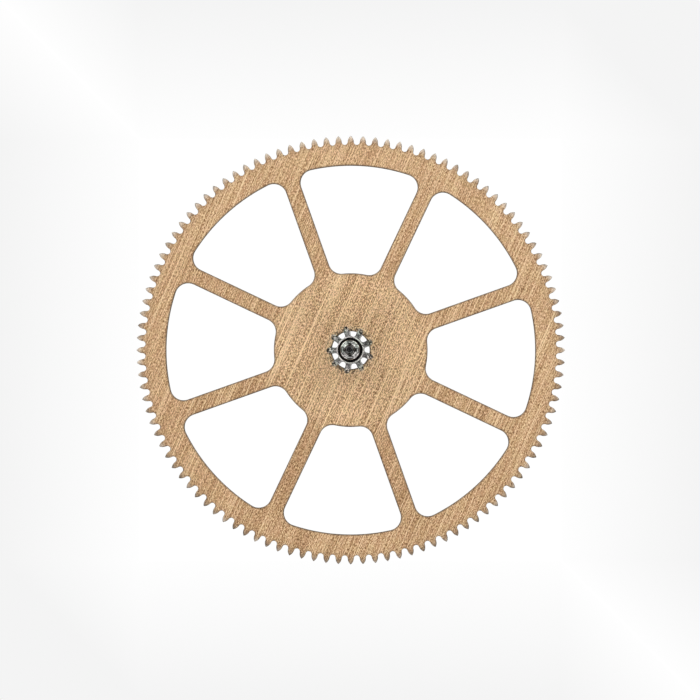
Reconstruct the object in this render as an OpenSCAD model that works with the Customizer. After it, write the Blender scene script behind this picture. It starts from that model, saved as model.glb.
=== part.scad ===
// Seconds wheel of a mechanical watch: a thin toothed wheel riveted on a steel pinion.
// The axis is Z. The origin is on the axis at the back pivot's shoulder, and +Z runs to the
// front, where the leaves, the long pivot and the seat for the seconds hand are.

/* [Wheel teeth] */
// Number of teeth round the wheel
wheel_teeth = 108; // [90:1:120]
// Wheel module, pitch diameter over number of teeth, mm
wheel_module = 0.075; // [0.07:0.001:0.08]
// Height of a tooth above the pitch circle, mm
tooth_addendum = 0.085; // [0.07:0.005:0.12]
// Depth of a tooth space below the pitch circle, mm
tooth_dedendum = 0.082; // [0.064:0.002:0.09]
// Thickness of a tooth on the pitch circle, mm
tooth_thick = 0.112; // [0.1:0.001:0.125]
// Width of the small land on a tooth's tip, mm
tooth_land = 0.014; // [0.006:0.002:0.02]

/* [Wheel plate] */
// Thickness of the plate, mm
wheel_t = 0.16; // [0.12:0.01:0.24]
// Width of the rim from the tooth roots to the windows, mm
rim_w = 0.404; // [0.3:0.001:0.6]
// Diameter of the plain disc in the middle, mm
hub_d = 2.97; // [2.4:0.01:3.6]
// Number of arms
arm_count = 8; // [4:1:8]
// Width of an arm, mm
arm_w = 0.313; // [0.2:0.01:0.4]
// Radius in the corners of the windows, mm
corner_r = 0.252; // [0.1:0.01:0.3]
// Direction of the first arm, degrees
arm_turn = 19.6; // [0:0.1:45]

/* [Pinion leaves] */
// Number of leaves
leaf_count = 9; // [8:1:10]
// Pinion module, mm
pinion_module = 0.0855; // [0.083:0.0005:0.09]
// Height of a leaf above the pitch circle, mm
leaf_addendum = 0.073; // [0.06:0.001:0.08]
// Diameter at the bottom of the spaces between leaves, mm
leaf_root_d = 0.506; // [0.49:0.001:0.52]
// Thickness of a leaf on the pitch circle, mm
leaf_thick = 0.11; // [0.09:0.001:0.12]
// Width of the land on a leaf's tip, mm
leaf_land = 0.016; // [0.008:0.002:0.03]
// Length of the leaves in front of the wheel, mm
leaf_len = 1.1; // [0.7:0.05:1.6]
// Bevel on the two ends of the leaf tips, mm
leaf_bevel = 0.02; // [0.005:0.001:0.03]
// Direction of the first leaf, degrees
leaf_turn = 21.3; // [0:0.1:40]

/* [Riveted seat] */
// Diameter of the turned seat, and of the hole in the wheel, mm
seat_d = 0.73; // [0.69:0.001:0.77]
// How far the rivet spreads beyond the seat, mm
rivet_spread = 0.035; // [0.02:0.001:0.05]
// Depth of the countersink that the rivet fills, mm
rivet_sink = 0.05; // [0.03:0.005:0.07]
// Height of the rivet behind the wheel, mm
rivet_head = 0.03; // [0.015:0.001:0.05]

/* [Arbor] */
// Diameter of the arbor behind the wheel, mm
back_arbor_d = 0.47; // [0.36:0.01:0.48]
// Length of the arbor behind the wheel, mm
back_arbor_len = 0.45; // [0.3:0.01:0.8]
// Diameter of the arbor in front of the leaves, mm
front_arbor_d = 0.376; // [0.34:0.001:0.4]
// Length of the arbor in front of the leaves, mm
front_arbor_len = 0.55; // [0.3:0.01:1]
// Diameter of the undercut turned in the front of the leaves, mm
undercut_d = 0.464; // [0.45:0.001:0.486]
// Depth of the undercut, mm
undercut_depth = 0.08; // [0.04:0.005:0.12]
// How much closer to the axis the undercut's wall is at its floor, mm
undercut_taper = 0.015; // [0.005:0.001:0.02]
// Radius round the edge of the undercut, mm
undercut_lip = 0.011; // [0.004:0.001:0.012]
// Radius round the edge of each shoulder, mm
shoulder_round = 0.028; // [0.01:0.001:0.032]
// Slope of each shoulder away from its pivot, which keeps the oil at the pivot, degrees
shoulder_slope = 8; // [2:0.5:12]

/* [Pivots] */
// Diameter of the front pivot where it turns in its bearing, mm
journal_d = 0.21; // [0.2:0.001:0.24]
// Length of that part of the front pivot, mm
journal_len = 0.35; // [0.25:0.01:0.5]
// Diameter of the seat for the seconds hand, mm
hand_seat_d = 0.18; // [0.15:0.001:0.19]
// Length of the seat for the seconds hand, mm
hand_seat_len = 1.15; // [0.6:0.01:1.6]
// Diameter of the back pivot, mm
back_pivot_d = 0.14; // [0.11:0.001:0.18]
// Length of the back pivot, mm
back_pivot_len = 0.28; // [0.2:0.01:0.4]
// Radius of the fillet where a pivot meets its shoulder, mm
pivot_fillet = 0.03; // [0.01:0.001:0.035]
// Radius round the edge of a pivot's end, mm
pivot_round = 0.035; // [0.01:0.001:0.045]

/* [Hidden] */
$fn = 96;

wheel_pitch_r = wheel_teeth * wheel_module / 2;
wheel_tip_r = wheel_pitch_r + tooth_addendum;
wheel_root_r = wheel_pitch_r - tooth_dedendum;
rim_r = wheel_root_r - rim_w;
hub_r = hub_d / 2;

leaf_pitch_r = leaf_count * pinion_module / 2;
leaf_tip_r = leaf_pitch_r + leaf_addendum;
leaf_root_r = leaf_root_d / 2;
undercut_r = undercut_d / 2;
seat_r = seat_d / 2;
rivet_r = seat_r + rivet_spread;
rivet_bevel = rivet_head / 2;
back_arbor_r = back_arbor_d / 2;
front_arbor_r = front_arbor_d / 2;
journal_r = journal_d / 2;
hand_seat_r = hand_seat_d / 2;
back_pivot_r = back_pivot_d / 2;

wheel_back_z = back_arbor_len;
wheel_front_z = wheel_back_z + wheel_t;
rivet_z = wheel_back_z - rivet_head;
leaf_front_z = wheel_front_z + leaf_len;
shoulder_z = leaf_front_z + front_arbor_len;
hand_seat_z = shoulder_z + journal_len;
front_z = hand_seat_z + hand_seat_len;

space_steps = 4; // straight pieces round the bottom of a tooth space
flank_steps = 3; // straight pieces on the curved side of a tooth
corner_steps = 6; // straight pieces in a window's corner
rim_steps = 5; // straight pieces along half of a window's outer edge
hub_steps = 2; // straight pieces along half of a window's inner edge
turned_steps = 5; // cones in a turned fillet
lip_steps = 2; // cones round the edge of the undercut

function polar(r, a) = [r * cos(a), r * sin(a)];
function arc(c, r, a0, a1, n) = [for (i = [0:n]) c + polar(r, a0 + (a1 - a0) * i / n)];
function bearing(v) = atan2(v[1], v[0]);

// One side of a tooth that stands along +X, from the pitch circle to its land. The side leaves
// the radial flank without a corner and bends inwards on one arc.
function tooth_side(pitch_r, tip_r, thick, land) =
    let (half = thick / 2 / pitch_r * 180 / PI,
         start = polar(pitch_r, half),
         end = [tip_r, land / 2],
         inward = polar(1, half - 90),
         chord = end - start,
         r = chord * chord / (2 * chord * inward),
         centre = start + r * inward)
    arc(centre, r, bearing(start - centre), bearing(end - centre), flank_steps);

// Outline of a toothed disc. Flanks are radial below the pitch circle, and a space between two
// teeth ends in one round bottom that touches both flanks.
function toothed_outline(count, pitch_r, tip_r, root_r, thick, land, turn) =
    let (step = 360 / count,
         half_space = step / 2 - thick / 2 / pitch_r * 180 / PI,
         bottom_c = root_r / (1 - sin(half_space)),
         bottom_r = bottom_c * sin(half_space),
         side = tooth_side(pitch_r, tip_r, thick, land),
         bottom = arc([bottom_c, 0], bottom_r, -90 - half_space, -270 + half_space, space_steps))
    [for (i = [0:count - 1])
        let (a = turn + i * step)
        each concat(
            [for (k = [0:flank_steps]) turned([side[k][0], -side[k][1]], a)],
            [for (k = [flank_steps:-1:0]) turned(side[k], a)],
            [for (p = bottom) turned(p, a + step / 2)])];

function turned(p, a) = [p[0] * cos(a) - p[1] * sin(a), p[0] * sin(a) + p[1] * cos(a)];

// Outline of the window whose middle lies along +X, between two arms with parallel sides.
function window_outline() =
    let (half = 180 / arm_count,
         off = arm_w / 2 + corner_r,
         outer_a = half - asin(off / (rim_r - corner_r)),
         inner_a = half - asin(off / (hub_r + corner_r)),
         outer_c = polar(rim_r - corner_r, outer_a),
         inner_c = polar(hub_r + corner_r, inner_a),
         upper = concat(
            arc([0, 0], rim_r, 0, outer_a, rim_steps),
            arc(outer_c, corner_r, outer_a, half + 90, corner_steps),
            arc(inner_c, corner_r, half + 90, 180 + inner_a, corner_steps),
            arc([0, 0], hub_r, inner_a, 0, hub_steps)),
         last = len(upper) - 1)
    concat(upper, [for (i = [last - 1:-1:1]) [upper[i][0], -upper[i][1]]]);

module wheel() {
    color([0.72, 0.55, 0.36])
    difference() {
        translate([0, 0, wheel_back_z])
        linear_extrude(wheel_t)
        difference() {
            polygon(toothed_outline(wheel_teeth, wheel_pitch_r, wheel_tip_r, wheel_root_r,
                                    tooth_thick, tooth_land, 0));
            for (i = [0:arm_count - 1])
                rotate(arm_turn + (i + 0.5) * 360 / arm_count) polygon(window_outline());
            circle(seat_r);
        }
        translate([0, 0, wheel_back_z])
        cylinder(h = rivet_sink, r1 = rivet_r, r2 = seat_r);
    }
}

// How far a shoulder falls away between the foot of its pivot and its round edge.
function shoulder_fall(arbor_r, pivot_r) =
    (arbor_r - shoulder_round - pivot_r - pivot_fillet) * tan(shoulder_slope);

// Half section of the arbor with its two pivots, as radius and height. The arbor changes its
// diameter inside the leaves.
function arbor_section() =
    let (end_r = hand_seat_r - pivot_round,
         back_end_r = back_pivot_r - pivot_round,
         back_edge = shoulder_fall(back_arbor_r, back_pivot_r) + shoulder_round,
         front_edge = shoulder_z - shoulder_fall(front_arbor_r, journal_r) - shoulder_round)
    concat(
        [[0, -back_pivot_len]],
        arc([back_end_r, -back_pivot_len + pivot_round], pivot_round, -90, 0, turned_steps),
        arc([back_pivot_r + pivot_fillet, -pivot_fillet], pivot_fillet, 180, 90, turned_steps),
        arc([back_arbor_r - shoulder_round, back_edge], shoulder_round, -90, 0, turned_steps),
        [[back_arbor_r, wheel_front_z], [front_arbor_r, wheel_front_z]],
        arc([front_arbor_r - shoulder_round, front_edge], shoulder_round, 0, 90, turned_steps),
        arc([journal_r + pivot_fillet, shoulder_z + pivot_fillet], pivot_fillet, 270, 180,
            turned_steps),
        [[journal_r, hand_seat_z - (journal_r - hand_seat_r)], [hand_seat_r, hand_seat_z]],
        arc([end_r, front_z - pivot_round], pivot_round, 0, 90, turned_steps),
        [[0, front_z]]);

// Half section that limits the leaves: the rivet, the turned seat and the free leaves with
// bevelled ends, less the undercut round the arbor.
function leaf_section() =
    concat(
        [[0, rivet_z], [rivet_r - rivet_bevel, rivet_z], [rivet_r, rivet_z + rivet_bevel],
         [rivet_r, wheel_back_z], [seat_r, wheel_back_z + rivet_sink], [seat_r, wheel_front_z],
         [leaf_tip_r - leaf_bevel, wheel_front_z], [leaf_tip_r, wheel_front_z + leaf_bevel],
         [leaf_tip_r, leaf_front_z - leaf_bevel], [leaf_tip_r - leaf_bevel, leaf_front_z]],
        arc([undercut_r + undercut_lip, leaf_front_z - undercut_lip], undercut_lip, 90, 180,
            lip_steps),
        [[undercut_r - undercut_taper, leaf_front_z - undercut_depth],
         [0, leaf_front_z - undercut_depth]]);

module pinion() {
    color([0.62, 0.63, 0.65])
    union() {
        intersection() {
            translate([0, 0, rivet_z])
            linear_extrude(leaf_front_z - rivet_z)
            polygon(toothed_outline(leaf_count, leaf_pitch_r, leaf_tip_r, leaf_root_r,
                                    leaf_thick, leaf_land, leaf_turn));
            rotate_extrude() polygon(leaf_section());
        }
        rotate_extrude() polygon(arbor_section());
    }
}

wheel();
pinion();
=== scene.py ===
# %% [markdown]
# # The seconds wheel of a mechanical watch
# The real object has two pieces. A thin plate of copper alloy carries the teeth, and a steel
# pinion is turned from one rod together with its arbor and its two pivots. The plate sits on the
# leaves of the pinion and is held there by riveting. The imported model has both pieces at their
# real size, so this lesson only gives them a finer skin, their finishes, and light.

import math

import bmesh
import bpy
import numpy as np
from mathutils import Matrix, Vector
from mathutils.geometry import delaunay_2d_cdt


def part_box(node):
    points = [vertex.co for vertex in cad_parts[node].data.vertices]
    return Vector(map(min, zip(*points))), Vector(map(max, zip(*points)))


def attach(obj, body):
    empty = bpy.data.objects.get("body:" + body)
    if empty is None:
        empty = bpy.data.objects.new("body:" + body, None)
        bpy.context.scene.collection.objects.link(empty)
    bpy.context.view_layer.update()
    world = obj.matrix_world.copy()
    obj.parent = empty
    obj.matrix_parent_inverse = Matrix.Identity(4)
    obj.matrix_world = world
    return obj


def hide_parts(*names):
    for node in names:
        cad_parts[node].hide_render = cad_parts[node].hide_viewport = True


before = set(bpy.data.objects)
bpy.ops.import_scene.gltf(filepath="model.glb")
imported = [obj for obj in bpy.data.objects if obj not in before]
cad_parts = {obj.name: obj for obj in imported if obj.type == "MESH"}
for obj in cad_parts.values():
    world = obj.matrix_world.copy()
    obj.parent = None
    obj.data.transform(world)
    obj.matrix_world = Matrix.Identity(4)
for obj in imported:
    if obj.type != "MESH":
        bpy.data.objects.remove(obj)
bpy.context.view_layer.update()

# %% [markdown]
# Watch parts are drawn in millimetres, but Blender works in metres here. The shapes below are
# worked out in millimetres and scaled once, when a mesh is made. Heights and the outer radius are
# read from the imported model, so the new skin can't drift away from it.

# %% Sizes of the plate, in millimetres
MM = 0.001
plate_low, plate_high = (np.array(corner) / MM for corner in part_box("wheel"))
plate_back, plate_front = plate_low[2], plate_high[2]
tooth_tip_r = plate_high[0]

tooth_count = 108
tooth_module = 0.075
root_below_pitch = 0.082
tooth_pitch_r = tooth_count * tooth_module / 2
tooth_root_r = tooth_pitch_r - root_below_pitch
rim_w = 0.404
rim_r = tooth_root_r - rim_w
hub_r = 1.485
arm_count = 8
arm_w = 0.313
arm_turn = math.radians(19.6)
corner_r = 0.252
seat_r = 0.365
rivet_spread = 0.035
rivet_sink = 0.05
print(f"plate {plate_back:.3f} to {plate_front:.3f}, tip radius {tooth_tip_r:.3f} mm")

# %% [markdown]
# A gear's outline is easiest to think of as one tooth, turned round the axis again and again.
# Each side of a tooth is an arc that grows out of a straight radial flank, and each space ends in
# a round bottom that touches both flanks. The plate also needs outlines that lie a little inside
# this one, for the rounded edge. An arc that is moved sideways keeps its centre and only changes
# its radius, so the same formula gives every one of them.

# %% Arcs, turned copies and the outline of a toothed disc
LEAST_HALF_TIP = 0.0006


def arc(centre, radius, start, end, steps):
    """Points centre + radius * (cos a, sin a), with a going evenly from start to end."""
    a = np.linspace(start, end, steps + 1)
    return np.column_stack([centre[0] + radius * np.cos(a), centre[1] + radius * np.sin(a)])


def turned(points, angles):
    """The points turned about the axis by each angle: x cos a - y sin a, x sin a + y cos a."""
    c = np.cos(np.atleast_1d(angles))[:, None]
    s = np.sin(np.atleast_1d(angles))[:, None]
    x, y = points[:, 0], points[:, 1]
    return np.stack([c * x - s * y, s * x + c * y], axis=-1).reshape(-1, 2)


def toothed_outline(inset, count, flank_end_r, tip_r, root_r, thick, land, turn, side_steps,
                    bottom_steps):
    """Outline of a toothed disc, moved into the metal by inset.

    A tooth is thick wide where its radial flanks end. Its side is the arc through the end of the
    flank and the tip that touches the flank, so the radius is chord squared over twice the
    chord's reach across the flank. It ends at the tip's height, or just before the tooth's middle
    line where the inset brings both sides together. The bottom arc has its centre on the space's
    middle line and touches both flanks. The inset takes from the first radius and adds to the
    second."""
    half = thick / 2 / flank_end_r
    start = flank_end_r * np.array([math.cos(half), math.sin(half)])
    inward = np.array([math.sin(half), -math.cos(half)])
    chord = np.array([tip_r, land / 2]) - start
    radius = chord @ chord / (2 * chord @ inward)
    centre = start + radius * inward
    reach = radius - inset
    first = math.atan2(start[1] - centre[1], start[0] - centre[0])
    at_land = math.acos((tip_r - inset - centre[0]) / reach)
    at_middle = math.asin((LEAST_HALF_TIP - centre[1]) / reach)
    side = arc(centre, reach, first, max(at_land, at_middle), side_steps)
    step = 2 * math.pi / count
    half_space = step / 2 - half
    bottom_x = root_r / (1 - math.sin(half_space))
    bottom_r = bottom_x * math.sin(half_space) + inset
    quarter = math.pi / 2
    bottom = arc((bottom_x, 0), bottom_r, -quarter - half_space, half_space - 3 * quarter,
                 bottom_steps)
    one = np.concatenate([side * [1, -1], side[::-1], turned(bottom, step / 2)])
    return turned(one, turn + step * np.arange(count))


# %% [markdown]
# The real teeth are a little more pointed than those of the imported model. So the straight flank
# ends a little inside the pitch circle, and the tip is narrow and stands slightly higher. No
# point of the outline moves by as much as a hundredth of a millimetre.

# %% The teeth of the wheel
FLANK_ENDS_BELOW = 0.03
TIP_PROUD = 0.005
wheel_teeth = dict(
    count=tooth_count, flank_end_r=tooth_pitch_r - FLANK_ENDS_BELOW,
    tip_r=tooth_tip_r + TIP_PROUD, root_r=tooth_root_r, thick=0.118, land=0.006, turn=0.0,
    side_steps=7, bottom_steps=9,
)
print("points round the teeth:", len(toothed_outline(0, **wheel_teeth)))

# %% [markdown]
# The windows follow the same idea. A window lies between two arms with parallel sides, the rim
# and the disc, and its corners are round. Growing it by a small amount changes only its radii,
# because every centre stays where it is.

# %% Outline of a window, and of the hole for the pinion
RIM_STEPS, CORNER_STEPS, HUB_STEPS, HOLE_STEPS = 14, 12, 6, 144


def window_outline(inset, turn):
    """Outline of the window whose middle lies in the direction turn, moved into the metal by
    inset. Half of it is four arcs: rim, outer corner, inner corner and disc. The arm's side is
    the straight line between the two corners, and the other half is the mirror image."""
    half = math.pi / arm_count
    off = arm_w / 2 + corner_r
    outer = half - math.asin(off / (rim_r - corner_r))
    inner = half - math.asin(off / (hub_r + corner_r))
    outer_c = (rim_r - corner_r) * np.array([math.cos(outer), math.sin(outer)])
    inner_c = (hub_r + corner_r) * np.array([math.cos(inner), math.sin(inner)])
    side_on = half + math.pi / 2
    upper = np.concatenate([
        arc((0, 0), rim_r + inset, 0, outer, RIM_STEPS)[:-1],
        arc(outer_c, corner_r + inset, outer, side_on, CORNER_STEPS),
        arc(inner_c, corner_r + inset, side_on, math.pi + inner, CORNER_STEPS)[:-1],
        arc((0, 0), hub_r - inset, inner, 0, HUB_STEPS),
    ])
    return turned(np.concatenate([upper, (upper * [1, -1])[-2:0:-1]]), turn)


def circle(radius, steps):
    """Points radius * (cos a, sin a) all the way round."""
    return arc((0, 0), radius, 0, 2 * math.pi, steps)[:-1]


window_turns = arm_turn + (np.arange(arm_count) + 0.5) * 2 * math.pi / arm_count
print("points round a window:", len(window_outline(0, 0)))

# %% [markdown]
# A sheet of metal with a finished edge is one profile carried along a path: it comes in over the
# flat face, bends down round the edge, drops along the wall and bends under the other face. The
# two parameters of the surface are the place along the outline and the place along the profile.
# Rows of four-sided faces fill in between the rings. The flat faces have many holes, so Blender's
# constrained triangulation fills them from the same rings, and everything meets point to point.

# %% Surfaces from rings, and flat faces
TRIANGLES_INSIDE = 1
SAME_POINT = 1e-9


def lifted(outline, height):
    """A flat outline at one height."""
    return np.column_stack([outline, np.full(len(outline), height)])


def carried(rings, painted_shade):
    """A surface of two parameters from rings of equal length: faces join neighbours along a ring
    and from each ring to the next. The last argument is one value for each ring: how much painted
    shade its points get."""
    levels, length = rings.shape[:2]
    row = np.arange(levels - 1)[:, None] * length
    here = row + np.arange(length)
    ahead = row + (np.arange(length) + 1) % length
    faces = np.stack([here, ahead, ahead + length, here + length], axis=-1).reshape(-1, 4)
    return rings.reshape(-1, 3), faces, np.repeat(painted_shade, length)


def flat_face(loops, height):
    """Triangles at one height between the first loop and the other loops, which are holes. A
    triangle in a hole lies in two loops and is left out. The flat face gets no painted shade."""
    ends = np.cumsum([0] + [len(loop) for loop in loops]).tolist()
    rounds = [list(range(a, b)) for a, b in zip(ends, ends[1:])]
    flat = [Vector(p) for p in np.concatenate(loops)]
    made = delaunay_2d_cdt(flat, [], rounds, TRIANGLES_INSIDE, SAME_POINT)
    points, _, triangles, _, _, lies_in = made
    kept = [face for face, within in zip(triangles, lies_in) if within == [0]]
    outline = np.array([tuple(p) for p in points])
    return lifted(outline, height), np.array(kept), np.zeros(len(points))


# %% [markdown]
# The patches become one mesh, whose doubled points are welded, and whose faces are turned to look
# outwards. Two values go with every point, for the finish to read: how much painted shade it gets,
# and whether it lies on a face square to the axis or on a wall along it.

# %% One closed mesh
WELD = 1e-8
SHARP_FROM = math.radians(28)


def closed_mesh(name, patches):
    """One object from patches of (points in mm, faces, painted shade), welded where they meet. The
    value facing is the size of the normal's z: 1 on faces square to the axis, and 0 on walls along
    it."""
    points = np.concatenate([patch[0] for patch in patches]) * MM
    painted_shade = np.concatenate([patch[2] for patch in patches])
    starts = np.cumsum([0] + [len(patch[0]) for patch in patches])
    faces = []
    for (_, some, _), start in zip(patches, starts):
        faces += (some + start).tolist()
    mesh = bpy.data.meshes.new(name)
    mesh.from_pydata(points.tolist(), [], faces)
    shade_layer = mesh.attributes.new("painted_shade", "FLOAT", "POINT")
    shade_layer.data.foreach_set("value", painted_shade.astype(np.float32))
    shell = bmesh.new()
    shell.from_mesh(mesh)
    bmesh.ops.remove_doubles(shell, verts=shell.verts, dist=WELD)
    bmesh.ops.recalc_face_normals(shell, faces=shell.faces)
    loose = sum(not edge.is_manifold for edge in shell.edges)
    shell.to_mesh(mesh)
    shell.free()
    normals = np.empty(3 * len(mesh.vertices), np.float32)
    mesh.vertex_normals.foreach_get("vector", normals)
    faced = mesh.attributes.new("facing", "FLOAT", "POINT")
    faced.data.foreach_set("value", np.abs(normals[2::3]))
    mesh.shade_smooth()
    mesh.set_sharp_from_angle(angle=SHARP_FROM)
    piece = bpy.data.objects.new(name, mesh)
    bpy.context.scene.collection.objects.link(piece)
    print(f"{name}: {len(mesh.polygons)} faces, {loose} open edges")
    return piece


# %% [markdown]
# The edge of the plate is rounded by deburring, by about a seventh of its thickness. The profile
# starts a little way in on the flat face, so that the shading of the rounded edge doesn't spread
# over the whole face. A value of painted shade rises from nothing on the flat to its most on the
# wall, with the sine of the edge's turn, and the finish darkens the metal by it later. The windows
# are punched and the teeth are cut, but the difference in darkness is painted: the windows' edges
# get all of the painted shade, and those of the teeth a quarter of it.

# %% The wall and the rounded edges along an outline
EDGE_R = 0.022
EDGE_STEPS = 4
EDGE_DARK = 0.45
TOOTH_FLAT = 0.018
WINDOW_FLAT = 0.016
TEETH_EDGE_SHADE = 0.25
WINDOW_SHADE = 1.0


def edge_profile(radius, flat, steps):
    """Inset and drop along one rounded edge: r (1 - sin a) and r (1 - cos a), a from 0 to 90
    degrees, after one point further in on the flat face. The painted shade goes from EDGE_DARK to 1
    with sin a."""
    a = np.linspace(0, math.pi / 2, steps + 1)
    inset = np.concatenate([[radius + flat], radius * (1 - np.sin(a))])
    drop = np.concatenate([[0], radius * (1 - np.cos(a))])
    return inset, drop, np.concatenate([[0], EDGE_DARK + (1 - EDGE_DARK) * np.sin(a)])


def sheet_wall(outline, flat, darkness):
    """The wall of the plate along one outline, with both of its edges rounded. The painted shade of
    the profile is multiplied by darkness."""
    inset, drop, painted_shade = edge_profile(EDGE_R, flat, EDGE_STEPS)
    painted_shade = painted_shade * darkness
    front = [lifted(outline(i), plate_front - d) for i, d in zip(inset, drop)]
    back = [lifted(outline(i), plate_back + d) for i, d in zip(inset[::-1], drop[::-1])]
    return carried(np.array(front + back), np.concatenate([painted_shade, painted_shade[::-1]]))


def tooth_loop(inset):
    """The outline of the wheel's teeth, moved into the metal by inset."""
    return toothed_outline(inset, **wheel_teeth)


walls = [sheet_wall(tooth_loop, TOOTH_FLAT, TEETH_EDGE_SHADE)]
walls += [sheet_wall(lambda inset, t=t: window_outline(inset, t), WINDOW_FLAT, WINDOW_SHADE)
          for t in window_turns]
print("walls:", len(walls))

# %% [markdown]
# The hole has a small rounded edge in front. At the back a countersink takes the metal that the
# riveting punch spreads, so the rings there go outwards again.

# %% The hole, and the whole plate
HOLE_EDGE_R = 0.018
HOLE_EDGE_STEPS = 3
SINK_EDGE_DARK = 0.6
# Painted shade on the hole: its rounded front edge and its wall as on the plate's edges, full shade
# where the countersink begins, and part of it at the countersink's outer edge.
hole_inset, hole_drop, hole_shade = edge_profile(HOLE_EDGE_R, TOOTH_FLAT, HOLE_EDGE_STEPS)
sink_r = seat_r + np.array([0, rivet_spread, rivet_spread + TOOTH_FLAT])
sink_z = plate_back + np.array([rivet_sink, 0, 0])
hole_r = np.concatenate([seat_r + hole_inset, sink_r])
hole_z = np.concatenate([plate_front - hole_drop, sink_z])
hole_rings = np.array([lifted(circle(r, HOLE_STEPS), z) for r, z in zip(hole_r, hole_z)])

loops = [tooth_loop(EDGE_R + TOOTH_FLAT)]
loops += [window_outline(EDGE_R + WINDOW_FLAT, t) for t in window_turns]
plate = closed_mesh("wheel_plate", [
    *walls,
    carried(hole_rings, np.concatenate([hole_shade, [1, SINK_EDGE_DARK, 0]])),
    flat_face(loops + [circle(hole_r[0], HOLE_STEPS)], plate_front),
    flat_face(loops + [circle(hole_r[-1], HOLE_STEPS)], plate_back),
])
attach(plate, "root")
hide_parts("wheel")

# %% [markdown]
# The pinion is turned and cut from one steel rod. Behind the plate are a short arbor and the back
# pivot. In front are the free leaves, a thinner arbor and the front pivot, whose end is thinner
# again and carries the hand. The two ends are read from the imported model, and the other sizes are
# the ones that it was drawn with.

# %% Sizes of the pinion, in millimetres
pinion_low, pinion_high = (np.array(corner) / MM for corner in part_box("pinion"))
back_end, front_end = pinion_low[2], pinion_high[2]
leaf_length, front_arbor_length, front_pivot_length = 1.1, 0.55, 0.35
leaf_front = plate_front + leaf_length
shoulder_z = leaf_front + front_arbor_length
hand_seat_z = shoulder_z + front_pivot_length

leaf_count = 9
leaf_module = 0.0855
leaf_above_pitch = 0.073
leaf_pitch_r = leaf_count * leaf_module / 2
leaf_tip_r = leaf_pitch_r + leaf_above_pitch
leaf_bevel = 0.02
rivet_r = seat_r + rivet_spread
rivet_head = 0.03
back_arbor_r = 0.235
front_arbor_r = 0.188
undercut_r = 0.232
undercut_depth = 0.08
undercut_taper = 0.015
undercut_lip = 0.011
shoulder_round = 0.028
shoulder_slope = math.tan(math.radians(8))
journal_r = 0.105
hand_seat_r = 0.09
back_pivot_r = 0.07
pivot_fillet = 0.03
pivot_round = 0.035
print(f"pinion {back_end:.2f} to {front_end:.2f} mm, leaves to {leaf_front:.2f} mm")

# %% [markdown]
# The round parts are lathe work, so they are a half section swept round the axis. The two
# parameters are the place along the section and the angle. Small fillets stand where a pivot
# grows out of its shoulder, because a sharp corner there would break.

# %% A swept half section, and the one behind the plate
TURN_STEPS = 144
ROUND_STEPS = 7


def swept(section):
    """A half section swept round the axis: (r cos a, r sin a, z) for each (r, z) of the section
    and each angle a."""
    flats = [circle(r, TURN_STEPS) if r else np.zeros((TURN_STEPS, 2)) for r, _, _ in section]
    rings = np.array([lifted(flat, z) for flat, (_, z, _) in zip(flats, section)])
    return carried(rings, np.array([painted_shade for _, _, painted_shade in section]))


def rounded(centre, radius, start, end, painted_shade=(0.0, 0.0)):
    """An arc of a half section, as points (r, z, painted shade), with angles in degrees. The
    painted shade goes evenly from its first value to its second."""
    points = arc(centre, radius, math.radians(start), math.radians(end), ROUND_STEPS)
    return np.column_stack([points, np.linspace(*painted_shade, len(points))]).tolist()


back_face_r = back_arbor_r - shoulder_round
back_fall = shoulder_slope * (back_face_r - back_pivot_r - pivot_fillet)
back_section = [
    (0, back_end, 0),
    *rounded((back_pivot_r - pivot_round, back_end + pivot_round), pivot_round, -90, 0),
    *rounded((back_pivot_r + pivot_fillet, -pivot_fillet), pivot_fillet, 180, 90),
    *rounded((back_face_r, back_fall + shoulder_round), shoulder_round, -90, 0),
    (back_arbor_r, plate_back - rivet_head, 0),
]
print("points in the half section behind:", len(back_section))

# %% [markdown]
# In front, the section starts at the lip of the undercut, dives to its bottom and comes up along
# the arbor to the shoulder, the pivot and the longer, thinner seat for the hand. Its value of
# painted shade blackens the undercut, the step where the seat begins, and the end, and darkens the
# rest of the arbor and pivot a little.

# %% The half section in front of the plate
BLACK = 1
DULL = 0.05
STEP_DARK = 0.9
END_DARK = 0.8
END_ROUND_DARK = (0.9, 0.55)
FADE = 0.01
BELOW_END = 0.05
step_z = hand_seat_z - journal_r + hand_seat_r
face_r = front_arbor_r - shoulder_round
foot_r = journal_r + pivot_fillet
edge_z = shoulder_z - shoulder_slope * (face_r - foot_r) - shoulder_round
lip_centre = (undercut_r + undercut_lip, leaf_front - undercut_lip)
end_centre = (hand_seat_r - pivot_round, front_end - pivot_round)
front_section = [
    *rounded(lip_centre, undercut_lip, 90, 180),
    (undercut_r, leaf_front - 2 * undercut_lip, BLACK),
    (undercut_r - undercut_taper, leaf_front - undercut_depth, BLACK),
    (front_arbor_r, leaf_front - undercut_depth, BLACK),
    (front_arbor_r, leaf_front - FADE, BLACK),
    (front_arbor_r, leaf_front + 2 * FADE, DULL),
    *rounded((face_r, edge_z), shoulder_round, 0, 90, (DULL, DULL)),
    *rounded((foot_r, shoulder_z + pivot_fillet), pivot_fillet, 270, 180, (DULL, DULL)),
    (journal_r, step_z - FADE, DULL),
    (journal_r, step_z, STEP_DARK),
    (hand_seat_r, hand_seat_z, STEP_DARK),
    (hand_seat_r, hand_seat_z + FADE, DULL),
    (hand_seat_r, front_end - pivot_round - BELOW_END, DULL),
    *rounded(end_centre, pivot_round, 0, 90, END_ROUND_DARK),
    (0, front_end, END_DARK),
]
print("points in the half section in front:", len(front_section))
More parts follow.
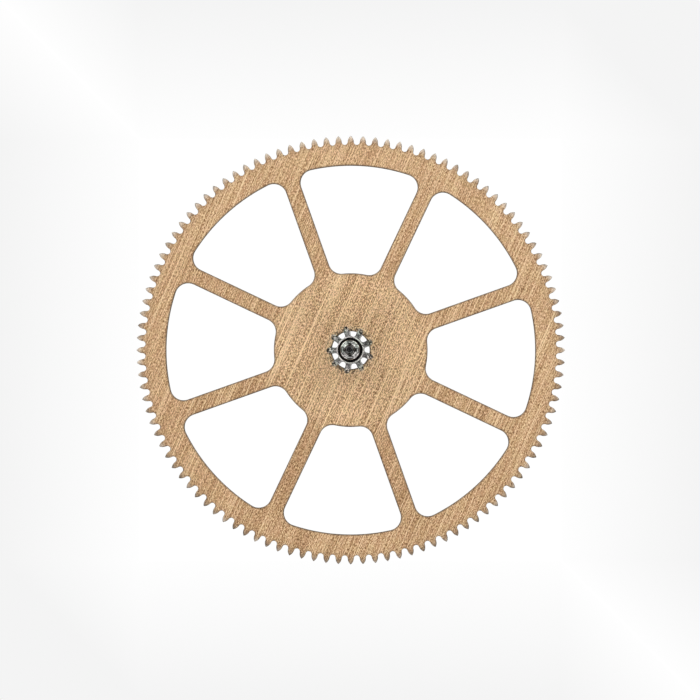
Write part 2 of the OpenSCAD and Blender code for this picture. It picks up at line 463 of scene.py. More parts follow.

# %% [markdown]
# The leaves use the outline of the teeth again, with nine long leaves. In front of the plate they
# stand free. Inside the plate a lathe has cut them down to the round seat, and behind it their ends
# are spread over the countersink by the riveting punch. So every ring has its own height, its own
# inset, the radius that the turning tool left, and its painted shade, which darkens the bevels at
# both ends of the leaves.

# %% The leaves, ring by ring
LEAF_EDGE = 0.005
LEAF_FLAT = 0.004
PUNCHED = -0.012
FREE = 1.0
BEVEL_DARK = 0.5
LEAF_EDGE_DARK = 0.35
ABOVE_BEVEL = 0.01
pinion_leaves = dict(
    count=leaf_count, flank_end_r=leaf_pitch_r, tip_r=leaf_tip_r, root_r=0.253, thick=0.11,
    land=0.016, turn=math.radians(21.3), side_steps=10, bottom_steps=14,
)
rivet_back = plate_back - rivet_head
bevel_r = leaf_tip_r - leaf_bevel
leaf_levels = [
    (rivet_back, PUNCHED + LEAF_EDGE, rivet_r - rivet_head / 2, BEVEL_DARK),
    (rivet_back + rivet_head / 2, PUNCHED, rivet_r, 0),
    (plate_back, PUNCHED, rivet_r, 0),
    (plate_back + rivet_sink, 0, seat_r, 0),
    (plate_front, 0, seat_r, 0),
    (plate_front, 0, bevel_r, 0),
    (plate_front + leaf_bevel, 0, FREE, 0),
    (leaf_front - leaf_bevel - ABOVE_BEVEL, 0, FREE, 0),
    (leaf_front - leaf_bevel, 0, FREE, BEVEL_DARK),
    (leaf_front - LEAF_EDGE, 0, bevel_r + LEAF_EDGE, BEVEL_DARK),
    (leaf_front, LEAF_EDGE, bevel_r, LEAF_EDGE_DARK),
    (leaf_front, LEAF_EDGE + LEAF_FLAT, bevel_r - LEAF_FLAT, 0),
]


def leaf_ring(height, inset, limit):
    """The leaves' outline at one height. Points beyond the turned radius limit are drawn in to
    it along their own radius: p * min(1, limit / |p|)."""
    outline = toothed_outline(inset, **pinion_leaves)
    radius = np.hypot(outline[:, 0], outline[:, 1])
    return lifted(outline * np.minimum(1, limit / radius)[:, None], height)


leaf_rings = np.array([leaf_ring(*level[:3]) for level in leaf_levels])
leaf_shade = np.array([level[3] for level in leaf_levels])
print("points round the leaves:", leaf_rings.shape[1])

# %% [markdown]
# Two flat faces join the leaves to the round parts: one behind, round the back arbor, and one in
# front, round the lip of the undercut. With them the five patches close into one skin, which takes
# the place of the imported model's pinion.

# %% The whole pinion
lip_r = undercut_r + undercut_lip
pinion = closed_mesh("leaf_pinion", [
    swept(back_section),
    flat_face([leaf_rings[0, :, :2], circle(back_arbor_r, TURN_STEPS)], rivet_back),
    carried(leaf_rings, leaf_shade),
    flat_face([leaf_rings[-1, :, :2], circle(lip_r, TURN_STEPS)], leaf_front),
    swept(front_section),
])
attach(pinion, "root")
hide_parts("pinion")

# %% [markdown]
# Finishes are made from nodes, and a few short helpers keep the wiring readable. Each of them
# adds one node, sets or links its inputs, and gives back the output that the next node needs.

# %% Helpers for nodes


def node(tree, kind, settings=None, **inputs):
    """A new node. settings are its own properties, and inputs are set or linked by name, where
    an underscore stands for a space, or by number, such as i0."""
    made = tree.nodes.new(kind)
    for name, value in (settings or {}).items():
        setattr(made, name, value)
    for name, value in inputs.items():
        by_number = name[0] == "i" and name[1:].isdigit()
        socket = made.inputs[int(name[1:]) if by_number else name.replace("_", " ")]
        if isinstance(value, bpy.types.NodeSocket):
            tree.links.new(value, socket)
        else:
            socket.default_value = value
    return made


def maths(tree, operation, first, second=0.0, third=0.0):
    """The result of one sum on two or three numbers or sockets."""
    settings = {"operation": operation}
    return node(tree, "ShaderNodeMath", settings, i0=first, i1=second, i2=third).outputs[0]


def plus(tree, total, value, weight):
    """total + value * weight."""
    return maths(tree, "MULTIPLY_ADD", value, weight, total)


def swayed(tree, total, noise, weight):
    """total + (noise - 0.5) * weight, because a noise lies on both sides of 0.5."""
    return plus(tree, total, maths(tree, "SUBTRACT", noise, 0.5), weight)


def in_space(tree, operation, *places, **more):
    """The result of one sum on vectors. It is a number for LENGTH and DOT_PRODUCT."""
    numbered = {f"i{n}": place for n, place in enumerate(places)}
    made = node(tree, "ShaderNodeVectorMath", {"operation": operation}, **numbered, **more)
    return made.outputs["Value" if operation in ("LENGTH", "DOT_PRODUCT") else "Vector"]


def ranged(tree, value, start, end, low=0.0, high=1.0, **settings):
    """A number that goes from low to high while the value goes from start to end."""
    return node(tree, "ShaderNodeMapRange", settings, Value=value, From_Min=start, From_Max=end,
                To_Min=low, To_Max=high).outputs[0]


def between(tree, share, first, second):
    """The number that lies the share of the way from the first to the second."""
    return node(tree, "ShaderNodeMix", {"data_type": "FLOAT"}, i0=share, i2=first,
                i3=second).outputs[0]


def mixed(tree, share, first, second, blend="MIX"):
    """The same for two colours. With MULTIPLY the second colour tints the first."""
    made = [c if isinstance(c, bpy.types.NodeSocket) else (*c, 1) for c in (first, second)]
    return node(tree, "ShaderNodeMix", {"data_type": "RGBA", "blend_type": blend}, i0=share,
                i6=made[0], i7=made[1]).outputs[2]


def noise_of(tree, place, scale=1.0, detail=0.0, roughness=0.5):
    """Blender's noise, with its cells 1 / scale wide."""
    return node(tree, "ShaderNodeTexNoise", Vector=place, Scale=scale, Detail=detail,
                Roughness=roughness).outputs["Fac"]


def out_from_axis(tree, place):
    """The distance from the axis: the length of (x, y, 0)."""
    return in_space(tree, "LENGTH", in_space(tree, "MULTIPLY", place, (1, 1, 0)))


# %% [markdown]
# Effects that more than one finish may use are made once, as node groups with named sockets. The
# shader itself stays in each material.

# %% Helpers for groups and materials
FLOAT, VECTOR = "NodeSocketFloat", "NodeSocketVector"


def new_group(name, inputs, outputs):
    """A node group with named sockets, given as (name, value) for numbers, after the place."""
    tree = bpy.data.node_groups.new(name, "ShaderNodeTree")
    tree.interface.new_socket("Position", in_out="INPUT", socket_type=VECTOR)
    for label, value in inputs:
        socket = tree.interface.new_socket(label, in_out="INPUT", socket_type=FLOAT)
        socket.default_value = value
    for label in outputs:
        tree.interface.new_socket(label, in_out="OUTPUT", socket_type=FLOAT)
    inside = tree.nodes.new("NodeGroupInput").outputs
    return tree, inside, tree.nodes.new("NodeGroupOutput").inputs


def placed(tree, group, **inputs):
    """A group put into a material, with its own values."""
    return node(tree, "ShaderNodeGroup", {"node_tree": group}, **inputs).outputs


def new_material(name):
    """An empty material, and the place of a point in millimetres."""
    made = bpy.data.materials.new(name)
    made.use_nodes = True
    tree = made.node_tree
    tree.nodes.clear()
    place = node(tree, "ShaderNodeTexCoord").outputs["Object"]
    return made, tree, in_space(tree, "SCALE", place, Scale=1 / MM)


def two_colour_ramp(tree, value, dark_at, dark, light_at, light):
    """A ramp from a dark colour to a light one, at two places along the value."""
    made = node(tree, "ShaderNodeValToRGB", Fac=value)
    ends = made.color_ramp.elements
    for end, at, colour in ((ends[0], dark_at, dark), (ends[1], light_at, light)):
        end.position, end.color = at, (*colour, 1)
    return made


# %% [markdown]
# Brushing leaves fine straight lines in one direction. A noise that is stretched along that
# direction looks just like them: the pattern is turned first, then squeezed across the lines and
# drawn out along them. A second noise, thinner and longer and taken from another place, picks out
# the few deep strokes that catch light: only its highest places count.

# %% Brushed lines as a group
brushed, inside, outside = new_group(
    "Brushed lines",
    [("Direction", 0.0), ("Line width", 0.03), ("Line length", 1.0), ("Deep share", 0.62)],
    ["Lines", "Deep strokes"],
)
STROKE_STRETCH, STROKE_SHIFT = (0.6, 2.1, 0.6), (7.3, 41.7, 3.1)
STROKE_FADE = 0.04
back_turn = maths(brushed, "MULTIPLY", inside["Direction"], -1.0)
along = node(brushed, "ShaderNodeVectorRotate", {"rotation_type": "Z_AXIS"},
             Vector=inside["Position"], Angle=back_turn).outputs[0]
per_length = maths(brushed, "DIVIDE", 1.0, inside["Line length"])
per_width = maths(brushed, "DIVIDE", 1.0, inside["Line width"])
squeeze = node(brushed, "ShaderNodeCombineXYZ", X=per_length, Y=per_width, Z=per_length)
stretched = in_space(brushed, "MULTIPLY", along, squeeze.outputs[0])
lines = noise_of(brushed, stretched, detail=2.0, roughness=0.6)
longer = in_space(brushed, "MULTIPLY_ADD", stretched, STROKE_STRETCH, STROKE_SHIFT)
full = maths(brushed, "ADD", inside["Deep share"], STROKE_FADE)
strokes = ranged(brushed, noise_of(brushed, longer), inside["Deep share"], full)
brushed.links.new(lines, outside["Lines"])
brushed.links.new(strokes, outside["Deep strokes"])
print("group:", brushed.name)

# %% [markdown]
# Under a lens every metal surface is also full of tiny light and dark grains. One group gives
# them at any size, together with a slow cloudiness that is many grains wide.

# %% Grains and clouds as a group
grains, inside, outside = new_group(
    "Grains and clouds", [("Grain size", 0.03), ("Cloud size", 0.3)], ["Grains", "Clouds"],
)
grain_scale = maths(grains, "DIVIDE", 1.0, inside["Grain size"])
cloud_scale = maths(grains, "DIVIDE", 1.0, inside["Cloud size"])
fine = noise_of(grains, inside["Position"], grain_scale, detail=1.0)
slow = noise_of(grains, inside["Position"], cloud_scale, detail=3.0, roughness=0.55)
grains.links.new(fine, outside["Grains"])
grains.links.new(slow, outside["Clouds"])
print("group:", grains.name)

# %% [markdown]
# Round the foot of the leaves there are dark and light flecks: partly chips and burrs that riveting
# pushes out of the seat, partly painted shade and painted reflections of the leaves. Both metals
# have them, so they are a group of their own: a noise with its lowest and highest places picked
# out, fading away on both sides of one radius.

# %% Flecks round the seat as a group
DARK_FROM, DARK_FULL = 0.49, 0.42
LIGHT_FROM, LIGHT_FULL = 0.53, 0.59
flecks, inside, outside = new_group(
    "Flecks round a radius", [("Radius", 0.45), ("Spread", 0.1), ("Fleck size", 0.03)],
    ["Dark", "Light"],
)
out_by = out_from_axis(flecks, inside["Position"])
away = maths(flecks, "ABSOLUTE", maths(flecks, "SUBTRACT", out_by, inside["Radius"]))
near = ranged(flecks, away, inside["Spread"], 0.0)
fleck_scale = maths(flecks, "DIVIDE", 1.0, inside["Fleck size"])
spots = noise_of(flecks, inside["Position"], fleck_scale, detail=1.0)
low_spots = ranged(flecks, spots, DARK_FROM, DARK_FULL)
high_spots = ranged(flecks, spots, LIGHT_FROM, LIGHT_FULL)
flecks.links.new(maths(flecks, "MULTIPLY", low_spots, near), outside["Dark"])
flecks.links.new(maths(flecks, "MULTIPLY", high_spots, near), outside["Light"])
print("group:", flecks.name)

# %% [markdown]
# The finish of the plate is a satin copper alloy. Its colour comes from one number, the tone,
# which adds up lines, deep strokes, grains and clouds. A few masks say where on the plate a point
# lies, because the disc, the arms and the rim don't look quite the same: the disc was brushed
# harder, with fainter lines and brighter strokes, and the arms are a little duller.

# %% Satin bronze: where on the plate
GRAIN_TURN = math.radians(66.3)
DISC_FROM, DISC_FULL = 1.7, 1.3
ARMS_FROM, ARMS_FULL = 1.1, 0.9
bronze, tree, in_mm = new_material("satin_bronze")
from_axis = out_from_axis(tree, in_mm)
on_disc = ranged(tree, from_axis, DISC_FROM, DISC_FULL)
arm_middle_r = (hub_r + rim_r) / 2
off_arms = maths(tree, "ABSOLUTE", maths(tree, "SUBTRACT", from_axis, arm_middle_r))
on_arms = ranged(tree, off_arms, ARMS_FROM, ARMS_FULL)
brush = placed(tree, brushed, Position=in_mm, Direction=GRAIN_TURN, Line_width=0.016,
               Line_length=1.3, Deep_share=0.63)
print("brushing at", round(math.degrees(GRAIN_TURN), 1), "degrees")

# %% [markdown]
# Brushing also draws the grains out a little. They are turned and stretched as the lines are, and
# their height above the plate's back is left out, so that they run straight through the plate: the
# back looks like the front, and a wall gets fine upright streaks from the cut. In the end the
# contrast is held back, less on the disc, and a slope of painted light makes the plate a little
# brighter towards the upper right.

# %% Satin bronze: the tone
GRAIN_STRETCH = (0.5, 1.1, 0.0)
START, MIDDLE = -0.01, 0.485
LINE_WEIGHT, LESS_ON_DISC = 1.1, -0.3
STROKE_WEIGHT, MORE_ON_DISC = 1.0, 3.4
GRAIN_WEIGHT, CLOUD_WEIGHT = 3.6, 0.35
DISC_PALER, ARMS_DULLER = 0.04, -0.08
CONTRAST, DISC_CONTRAST = 0.63, 0.36
PAINTED_LIGHT_TILT = (0.004, 0.0105, 0)
BURR_OUT, BURR_SPREAD, BURR_SIZE, FLECK_PAINTED_LIGHT = 0.05, 0.09, 0.03, 1.6
brushed_mm = node(tree, "ShaderNodeVectorRotate", {"rotation_type": "Z_AXIS"}, Vector=in_mm,
                  Angle=-GRAIN_TURN).outputs[0]
grain_place = in_space(tree, "MULTIPLY_ADD", brushed_mm, GRAIN_STRETCH, (0, 0, plate_front))
speck = placed(tree, grains, Position=grain_place, Grain_size=0.021, Cloud_size=0.35)
line_weight = plus(tree, LINE_WEIGHT, on_disc, LESS_ON_DISC)
stroke_weight = plus(tree, STROKE_WEIGHT, on_disc, MORE_ON_DISC)
tone = swayed(tree, START, brush["Lines"], line_weight)
tone = swayed(tree, tone, speck["Grains"], GRAIN_WEIGHT)
tone = swayed(tree, tone, speck["Clouds"], CLOUD_WEIGHT)
tone = plus(tree, tone, brush["Deep strokes"], stroke_weight)
tone = plus(tree, tone, on_disc, DISC_PALER)
tone = plus(tree, tone, on_arms, ARMS_DULLER)
contrast = plus(tree, CONTRAST, on_disc, DISC_CONTRAST)
# Painted light: a slope in the tone, brighter towards the upper right of the plate.
painted_light_slope = in_space(tree, "DOT_PRODUCT", in_mm, PAINTED_LIGHT_TILT)
tone = plus(tree, maths(tree, "ADD", painted_light_slope, MIDDLE), tone, contrast)
# Flecks round the seat, partly burrs and partly painted reflections and painted shade of the
# leaves. The light ones lift the tone here.
burrs_and_painted_light = placed(tree, flecks, Position=in_mm, Radius=seat_r + BURR_OUT, Spread=BURR_SPREAD,
              Fleck_size=BURR_SIZE)
tone = plus(tree, tone, burrs_and_painted_light["Light"], FLECK_PAINTED_LIGHT)
print("nodes for the tone:", len(tree.nodes))

# %% [markdown]
# A ramp turns the tone into dark, middle and light bronze. A second cloud moves the hue a little
# between pink and olive, as a thin film of oxide does.

# %% Satin bronze: from tone to colour
DARK_BRONZE, LIGHT_BRONZE = (0.22, 0.122, 0.057), (1.0, 0.762, 0.486)
MIDDLE_BRONZE = (0.60, 0.368, 0.2)
PINKISH, OLIVE = (1.01, 0.98, 0.985), (0.995, 1.0, 0.96)
PINKISH_BELOW, OLIVE_ABOVE = 0.42, 0.58
ramp = two_colour_ramp(tree, tone, 0.0, DARK_BRONZE, 1.0, LIGHT_BRONZE)
ramp.color_ramp.elements.new(0.5).color = (*MIDDLE_BRONZE, 1)
film = placed(tree, grains, Position=in_mm, Cloud_size=0.14)["Clouds"]
hue = mixed(tree, ranged(tree, film, PINKISH_BELOW, OLIVE_ABOVE), PINKISH, OLIVE)
tinted = mixed(tree, 1.0, ramp.outputs[0], hue, "MULTIPLY")
print("stops in the ramp:", len(ramp.color_ramp.elements))

# %% [markdown]
# Towards their tips the teeth turn greyer than the rim. On the upper side of the wheel the tips get
# painted light and turn pale, and on the lower side they get painted shade and turn dark. A coarse
# noise, about as wide as a tooth, lets one tip differ from the next, as stains do.

# %% Satin bronze: painted light, painted shade and stains on the teeth
TIPS_LIT_TOWARDS = (-0.09, 0.996, 0)
LIT_TO_SHADED_HALF = 0.75 * tooth_tip_r
SHADED_TIP, LIT_TIP = (0.19, 0.175, 0.155), (1.0, 0.93, 0.83)
TINT_FROM, MOST_TINT = tooth_root_r + 0.04, 0.8
STAIN_SIZE, STAIN_WEIGHT = 0.15, 3.4
to_tip = ranged(tree, from_axis, TINT_FROM, tooth_tip_r, high=MOST_TINT)
tip_towards_light = in_space(tree, "DOT_PRODUCT", in_mm, TIPS_LIT_TOWARDS)
tip_lit_share = ranged(tree, tip_towards_light, -LIT_TO_SHADED_HALF, LIT_TO_SHADED_HALF, clamp=False)
tip_stain = placed(tree, grains, Position=in_mm, Grain_size=STAIN_SIZE)["Grains"]
tip_lit_share = swayed(tree, tip_lit_share, tip_stain, STAIN_WEIGHT)
tinted = mixed(tree, to_tip, tinted, mixed(tree, tip_lit_share, SHADED_TIP, LIT_TIP))
print(f"stains from a radius of {TINT_FROM:.2f} mm")

# %% [markdown]
# The painted shade of the mesh darkens the cut walls and the rounded edges, the teeth get a little
# more painted shade, and the dark flecks round the seat join it, partly burrs and partly painted
# shade of the leaves. The grains also vary the roughness, and grains and lines are bump, so they
# catch light in views from the side. How bright the plate looks from straight above depends on its
# roughness, because a smoother one mirrors only the dark lens.

# %% Satin bronze: painted shade, roughness and bump
SHADE_AND_BURR_BROWN = (0.12, 0.095, 0.075)
WALL_SHADE, TEETH_SHADE, BURR_AND_SHADE_DARK, MOST_SHADE = 0.9, 0.16, 0.9, 0.94
TEETH_FROM = tooth_root_r - 0.1
SATIN_ROUGH, SATIN_SWAY = 0.52, 0.2
LINE_HEIGHT, GRAIN_DEPTH = 0.6, 0.002
painted_shade = node(tree, "ShaderNodeAttribute", {"attribute_name": "painted_shade"}).outputs["Fac"]
on_teeth = ranged(tree, from_axis, TEETH_FROM, TINT_FROM)
shade_and_burrs = plus(tree, maths(tree, "MULTIPLY", painted_shade, WALL_SHADE), on_teeth, TEETH_SHADE)
shade_and_burrs = maths(tree, "MINIMUM", plus(tree, shade_and_burrs, burrs_and_painted_light["Dark"], BURR_AND_SHADE_DARK), MOST_SHADE)
rough = swayed(tree, SATIN_ROUGH, speck["Grains"], SATIN_SWAY)
height = plus(tree, speck["Grains"], brush["Lines"], LINE_HEIGHT)
bump = node(tree, "ShaderNodeBump", Height=height, Strength=0.35, Distance=GRAIN_DEPTH * MM)
shader = node(tree, "ShaderNodeBsdfPrincipled", Base_Color=mixed(tree, shade_and_burrs, tinted, SHADE_AND_BURR_BROWN),
              Roughness=rough, Normal=bump.outputs[0], Metallic=1.0)
node(tree, "ShaderNodeOutputMaterial", Surface=shader.outputs[0])
plate.data.materials.append(bronze)
print("material:", bronze.name)

# %% [markdown]
# The pinion is hardened steel. Its faces that look along the axis are seen at their closest, and
# grains and clouds make their tone. The arbor is a little darker. The lip of the undercut gets a
# painted highlight, a thin bright ring, and painted glints, as from burrs, lighten the leaf ends
# near the pitch circle.

# %% Turned steel: the tone of the faces
FACE_TONE, FACE_GRAIN, FACE_CLOUD = 0.61, 1.5, 1.1
ARBOR_FADE, ARBOR_DARKER = 0.02, -0.03
LIP_HALF, LIP_LIGHT = 0.013, 0.9
GLINT_SPREAD, GLINT_SIZE, GLINT_LIGHT = 0.05, 0.045, 3.5
steel, tree, in_mm = new_material("turned_steel")
from_axis = out_from_axis(tree, in_mm)
speck = placed(tree, grains, Position=in_mm, Grain_size=0.03, Cloud_size=0.12)
tone = swayed(tree, FACE_TONE, speck["Grains"], FACE_GRAIN)
tone = swayed(tree, tone, speck["Clouds"], FACE_CLOUD)
on_arbor = ranged(tree, from_axis, front_arbor_r + ARBOR_FADE, front_arbor_r)
tone = plus(tree, tone, on_arbor, ARBOR_DARKER)
# Painted highlights: the bright ring on the lip, and the glints near the pitch circle.
lip_middle_r = undercut_r + 1.5 * undercut_lip
off_lip = maths(tree, "ABSOLUTE", maths(tree, "SUBTRACT", from_axis, lip_middle_r))
on_lip = ranged(tree, off_lip, LIP_HALF, 0.0)
tone = plus(tree, tone, on_lip, LIP_LIGHT)
glint = placed(tree, flecks, Position=in_mm, Radius=leaf_pitch_r, Spread=GLINT_SPREAD,
               Fleck_size=GLINT_SIZE)
tone = plus(tree, tone, glint["Light"], GLINT_LIGHT)
print("nodes for the faces:", len(tree.nodes))

# %% [markdown]
# The walls have other finishes. Lathe work leaves fine rings round the axis: on a cylinder they
# follow the height and on a shoulder they follow the radius, so their pattern reads both. Leaves
# are cut and polished lengthwise, so theirs is a noise drawn out along the axis. The facing value
# of the mesh says which of the two a point needs.

# %% Turned steel: the tone of the walls
WALL_TONE, WALL_SWAY = 0.72, 0.5
TURNED_SCALE = 70.0
LEAF_DRAWN = (40, 40, 1.2)
LEAVES_FROM, LEAVES_FULL = back_arbor_r + 0.002, back_arbor_r + 0.012
facing = node(tree, "ShaderNodeAttribute", {"attribute_name": "facing"}).outputs["Fac"]
up = node(tree, "ShaderNodeSeparateXYZ", Vector=in_mm).outputs["Z"]
ring_place = node(tree, "ShaderNodeCombineXYZ", X=from_axis, Y=up).outputs[0]
turning = noise_of(tree, ring_place, TURNED_SCALE, detail=2.0)
lengthwise = noise_of(tree, in_space(tree, "MULTIPLY", in_mm, LEAF_DRAWN), detail=2.0)
on_leaves = ranged(tree, from_axis, LEAVES_FROM, LEAVES_FULL)
polish = between(tree, on_leaves, turning, lengthwise)
tone = between(tree, facing, swayed(tree, WALL_TONE, polish, WALL_SWAY), tone)
print("nodes for faces and walls:", len(tree.nodes))

# %% [markdown]
# Steel is grey, but a film of oil moves it between pink and green, and the leaf ends take on the
# warm colour of the plate towards their tips.

# %% Turned steel: from tone to colour
DARK_AT, DARK_STEEL = 0.2, (0.10, 0.102, 0.10)
LIGHT_AT, LIGHT_STEEL = 0.95, (0.86, 0.86, 0.85)
PINK, GREEN = (1.0, 0.95, 0.985), (0.92, 1.0, 0.955)
PINK_BELOW, GREEN_ABOVE = 0.4, 0.6
NEUTRAL, WARM = (1, 0.985, 0.94), (1, 0.80, 0.54)
WARM_FROM = leaf_pitch_r - 0.03
ramp = two_colour_ramp(tree, tone, DARK_AT, DARK_STEEL, LIGHT_AT, LIGHT_STEEL)
film = placed(tree, grains, Position=in_mm, Cloud_size=0.2)["Clouds"]
hue = mixed(tree, ranged(tree, film, PINK_BELOW, GREEN_ABOVE), PINK, GREEN)
tinted = mixed(tree, 1.0, ramp.outputs[0], hue, "MULTIPLY")
to_leaf_tip = ranged(tree, from_axis, WARM_FROM, leaf_tip_r)
warm = mixed(tree, maths(tree, "MULTIPLY", to_leaf_tip, facing), NEUTRAL, WARM)
tinted = mixed(tree, 1.0, tinted, warm, "MULTIPLY")
print("nodes with colour:", len(tree.nodes))

# %% [markdown]
# The undercut at the foot of the arbor is painted black as shade, by the value of the mesh, and so
# are the step and the end. On the end of the arbor the feed of the tool has left a few rings that
# are wide enough to see: a cosine of the radius, with one bright ring at a known place. Dark flecks
# stand round the leaf tips, partly burrs and partly painted shade.

# %% Turned steel: black places
RING_PITCH, RING_DARK = 0.03, 0.6
BRIGHT_RING_R = 0.1145
SHADE_AND_GROOVE_BLACK, MOST_BLACK = (0.012, 0.012, 0.013), 0.97
TIP_BURR_IN, TIP_BURR_SPREAD, TIP_FLECK_SHADE = 0.02, 0.1, 1.2
per_ring = 2 * math.pi / RING_PITCH
feed = plus(tree, -BRIGHT_RING_R * per_ring, from_axis, per_ring)
groove = ranged(tree, maths(tree, "COSINE", feed), 1.0, -1.0, high=RING_DARK)
on_end = maths(tree, "MULTIPLY", on_arbor, facing)
painted_shade = node(tree, "ShaderNodeAttribute", {"attribute_name": "painted_shade"}).outputs["Fac"]
burrs_and_painted_light = placed(tree, flecks, Position=in_mm, Radius=leaf_tip_r - TIP_BURR_IN,
              Spread=TIP_BURR_SPREAD, Fleck_size=GLINT_SIZE)
shade_and_grooves = plus(tree, maths(tree, "MULTIPLY", painted_shade, MOST_BLACK), groove, on_end)
shade_and_grooves = plus(tree, shade_and_grooves, maths(tree, "MULTIPLY", burrs_and_painted_light["Dark"], facing), TIP_FLECK_SHADE)
shade_and_grooves = maths(tree, "MINIMUM", shade_and_grooves, MOST_BLACK)
print(f"a dark ring every {RING_PITCH} mm")

# %% [markdown]
# Polishing leaves little relief, and least on the end of the arbor. On the faces the grains, the
# lip and the glints stand out a little. On the walls only the fine lines of the tool do, at a
# quarter of that depth.

# %% Turned steel: roughness and bump
POLISHED_ROUGH, POLISHED_SWAY = 0.16, 0.16
SHADED_ROUGHER, ARBOR_SMOOTHER = 0.04, -0.07
RINGS_HEIGHT, GRAINS_HEIGHT, LIP_HEIGHT, GLINT_HEIGHT = 0.4, 2.0, 0.8, 0.7
FACE_STRENGTH, ARBOR_FLATTER, WALL_SHARE = 0.5, -0.2, 0.25
RELIEF = 0.004
rough = swayed(tree, POLISHED_ROUGH, speck["Clouds"], POLISHED_SWAY)
rough = plus(tree, rough, painted_shade, SHADED_ROUGHER)
rough = plus(tree, rough, on_arbor, ARBOR_SMOOTHER)
rings_height = maths(tree, "MULTIPLY", turning, RINGS_HEIGHT)
face_height = plus(tree, rings_height, speck["Grains"], GRAINS_HEIGHT)
face_height = plus(tree, face_height, on_lip, LIP_HEIGHT)
face_height = plus(tree, face_height, glint["Light"], GLINT_HEIGHT)
height = between(tree, facing, polish, face_height)
depth = plus(tree, FACE_STRENGTH, on_arbor, ARBOR_FLATTER)
depth = maths(tree, "MULTIPLY", depth, plus(tree, WALL_SHARE, facing, 1 - WALL_SHARE))
bump = node(tree, "ShaderNodeBump", Height=height, Strength=depth, Distance=RELIEF * MM)
shader = node(tree, "ShaderNodeBsdfPrincipled", Base_Color=mixed(tree, shade_and_grooves, tinted, SHADE_AND_GROOVE_BLACK),
              Roughness=rough, Normal=bump.outputs[0], Metallic=1.0)
node(tree, "ShaderNodeOutputMaterial", Surface=shader.outputs[0])
pinion.data.materials.append(steel)
print("material:", steel.name)

# %% [markdown]
# Small metal parts are photographed inside a white tent, so that no hard shadow falls. Its frame
# leaves it darker between four lit panels. Polished steel shows all of that, and satin bronze only
# the average. The sky of the scene plays the tent. For each direction, twice x times y over x
# squared plus y squared is the sine of twice its angle: it is largest on the diagonals, where the
# panels are. Close to the axis the roof is lit all round.

# %% The light tent: the panels
PANEL_FROM, PANEL_FULL = 0.4, 0.9
PANEL_DARK, PANEL_BRIGHT = 0.04, 1.45
ROOF_FROM, ROOF_FULL = 0.9, 0.985
NEVER_ZERO = 1e-6
SMOOTH = {"interpolation_type": "SMOOTHSTEP"}
world = bpy.data.worlds.new("light_tent")
bpy.context.scene.world = world
world.use_nodes = True
tree = world.node_tree
tree.nodes.clear()
look = node(tree, "ShaderNodeTexCoord").outputs["Generated"]
axes = node(tree, "ShaderNodeSeparateXYZ", Vector=look).outputs
xy = maths(tree, "MULTIPLY", axes["X"], axes["Y"])
across = plus(tree, maths(tree, "MULTIPLY", axes["X"], axes["X"]), axes["Y"], axes["Y"])
across = maths(tree, "MAXIMUM", across, NEVER_ZERO)
diagonal = maths(tree, "DIVIDE", maths(tree, "MULTIPLY", xy, 2.0), across)
diagonal = maths(tree, "ABSOLUTE", diagonal)
panel = ranged(tree, diagonal, PANEL_FROM, PANEL_FULL, PANEL_DARK, PANEL_BRIGHT, **SMOOTH)
off_roof = ranged(tree, axes["Z"], ROOF_FULL, ROOF_FROM, **SMOOTH)
sides = between(tree, off_roof, 1.0, panel)
print(f"panels from {PANEL_DARK} to {PANEL_BRIGHT}")

# %% [markdown]
# The lens looks in through a hole in the roof, so a smooth face square to the axis would mirror a
# dark round patch. The whole tent is a little brighter above the picture than below it. A ray that
# comes straight from the camera sees a plain pale tone instead, which is also that of the far
# corners of the sheet.

# %% The light tent: the lens and the sky
LENS_EDGE = math.cos(math.radians(9))
HOLE_EDGE_SOFT = math.cos(math.radians(14))
LENS_DARK = 0.12
SHEET_DIM = 0.905
TENT_LIGHT = 1.25
MORE_ABOVE = 0.2
lens = ranged(tree, axes["Z"], HOLE_EDGE_SOFT, LENS_EDGE, 1.0, LENS_DARK)
tent = maths(tree, "MULTIPLY", maths(tree, "MULTIPLY", sides, lens), TENT_LIGHT)
tent = maths(tree, "MULTIPLY", tent, plus(tree, 1.0, axes["Y"], MORE_ABOVE))
sees = node(tree, "ShaderNodeLightPath").outputs["Is Camera Ray"]
level = between(tree, sees, tent, SHEET_DIM)
sky = node(tree, "ShaderNodeBackground", Color=(1, 1, 1, 1), Strength=level)
node(tree, "ShaderNodeOutputWorld", Surface=sky.outputs[0])
print("light:", world.name)

# %% [markdown]
# The pale sheet lies far below the part, further than any shadow reaches, and is lit from behind.
# Its pattern is known from the picture, in pixels. The sheet is further from the camera than the
# plate is, so a pixel covers a little more of it. The camera's line of sight leans a little and
# meets the sheet off the axis, and the pattern is centred there.

# %% Sizes on the sheet, in millimetres
SHEET_BELOW, SHEET_HALF = 300.0, 1500.0
CAMERA_ABOVE = 150.0
LEANS_BY = (1.3, -0.4)
PIXEL = 0.01932
WHITE_HALF_PX, FADE_PX = 210, 140
pixel_there = PIXEL * (CAMERA_ABOVE + SHEET_BELOW) / CAMERA_ABOVE
white_half = WHITE_HALF_PX * pixel_there
fade_over = FADE_PX * pixel_there
mirrored_core = SHEET_BELOW / 3
mirrored_edge = 4 * mirrored_core
lean_back = -(plate_front + SHEET_BELOW) / CAMERA_ABOVE
seen_middle = (LEANS_BY[0] * lean_back, LEANS_BY[1] * lean_back, 0.0)
print(f"the white square is {2 * white_half:.1f} mm wide")

# %% [markdown]
# A square in the middle of the sheet is white, and beyond it the light falls off. The excess over
# the square along x and the one along y are added with their signs, so two opposite corners get
# darker and the other two keep a bright diagonal. The part must not mirror the whole wide sheet,
# so rays that don't come from the camera find only a round patch of it bright.

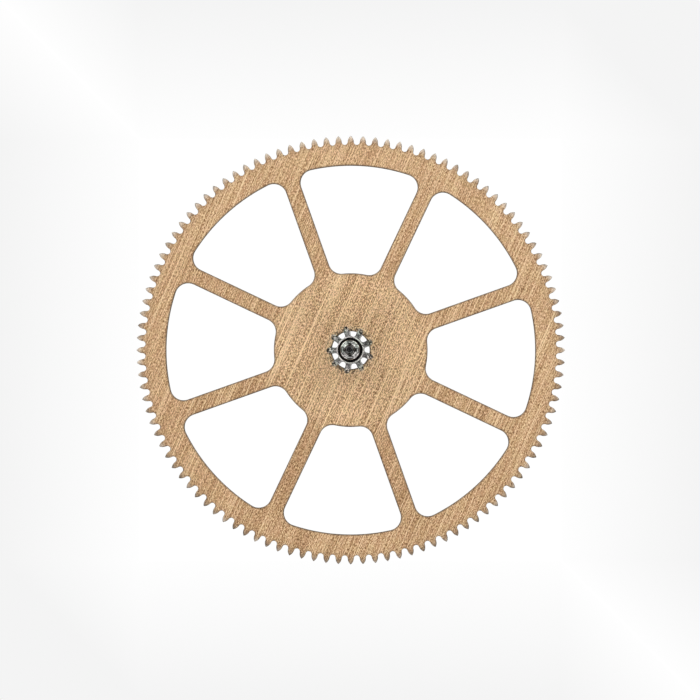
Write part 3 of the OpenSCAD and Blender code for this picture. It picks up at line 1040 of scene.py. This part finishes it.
# %% The pale sheet
WHITE, WHITE_LIFT = 0.996, 0.02
INSIDE = 0.05
MIRRORED_FAR = 0.4
mesh = bpy.data.meshes.new("pale_sheet")
signs = np.array([(-1, -1), (1, -1), (1, 1), (-1, 1)])
corners = lifted(signs * SHEET_HALF, -SHEET_BELOW) * MM
mesh.from_pydata(corners.tolist(), [], [(0, 1, 2, 3)])
sheet = bpy.data.objects.new("pale_sheet", mesh)
bpy.context.scene.collection.objects.link(sheet)
paper, tree, in_mm = new_material("lit_sheet")
axes = node(tree, "ShaderNodeSeparateXYZ", Vector=in_space(tree, "SUBTRACT", in_mm, seen_middle))
excess = []
for axis in "XY":
    off = axes.outputs[axis]
    held = node(tree, "ShaderNodeClamp", Value=off, Min=-white_half, Max=white_half).outputs[0]
    excess.append(maths(tree, "SUBTRACT", off, held))
off_diagonal = maths(tree, "ABSOLUTE", maths(tree, "ADD", *excess))
pale = ranged(tree, off_diagonal, 0.0, fade_over, WHITE, SHEET_DIM)
shown = plus(tree, pale, maths(tree, "LESS_THAN", off_diagonal, INSIDE), WHITE_LIFT)
far = in_space(tree, "LENGTH", in_mm)
mirrored = ranged(tree, far, mirrored_core, mirrored_edge, 1.0, MIRRORED_FAR, **SMOOTH)
sees = node(tree, "ShaderNodeLightPath").outputs["Is Camera Ray"]
glow = between(tree, sees, mirrored, shown)
shader = node(tree, "ShaderNodeEmission", Color=(1, 1, 1, 1), Strength=glow)
node(tree, "ShaderNodeOutputMaterial", Surface=shader.outputs[0])
mesh.materials.append(paper)
print("material:", paper.name)

# %% [markdown]
# The camera looks down the axis through a very long lens, as the photograph does. One pixel of the
# 700-pixel picture covers 0.01932 mm on the plate, and the plate's centre stands a little right of
# the picture's centre. In the photograph the tall pinion leans a little to the left of its hole,
# so the camera stands about half a degree to the right of the axis and looks back at the plate.

# %% Camera
PICTURE = 700
PLATE_AT = (350.22, 349.62)
data = bpy.data.cameras.new("camera")
data.sensor_width = 36.0
data.lens = data.sensor_width * CAMERA_ABOVE / (PICTURE * PIXEL)
data.clip_start, data.clip_end = 0.01, 4.0
camera = bpy.data.objects.new("camera", data)
bpy.context.scene.collection.objects.link(camera)
middle_px = (PICTURE - 1) / 2
aim_x, aim_y = (middle_px - PLATE_AT[0]) * PIXEL, (PLATE_AT[1] - middle_px) * PIXEL
aim = Vector((aim_x, aim_y, plate_front)) * MM
camera.location = aim + Vector((*LEANS_BY, CAMERA_ABOVE)) * MM
camera.rotation_euler = (-LEANS_BY[1] / CAMERA_ABOVE, LEANS_BY[0] / CAMERA_ABOVE, 0)
bpy.context.scene.camera = camera
bpy.context.scene.view_settings.view_transform = "Standard"
print(f"lens {data.lens:.0f} mm at {CAMERA_ABOVE:.0f} mm")
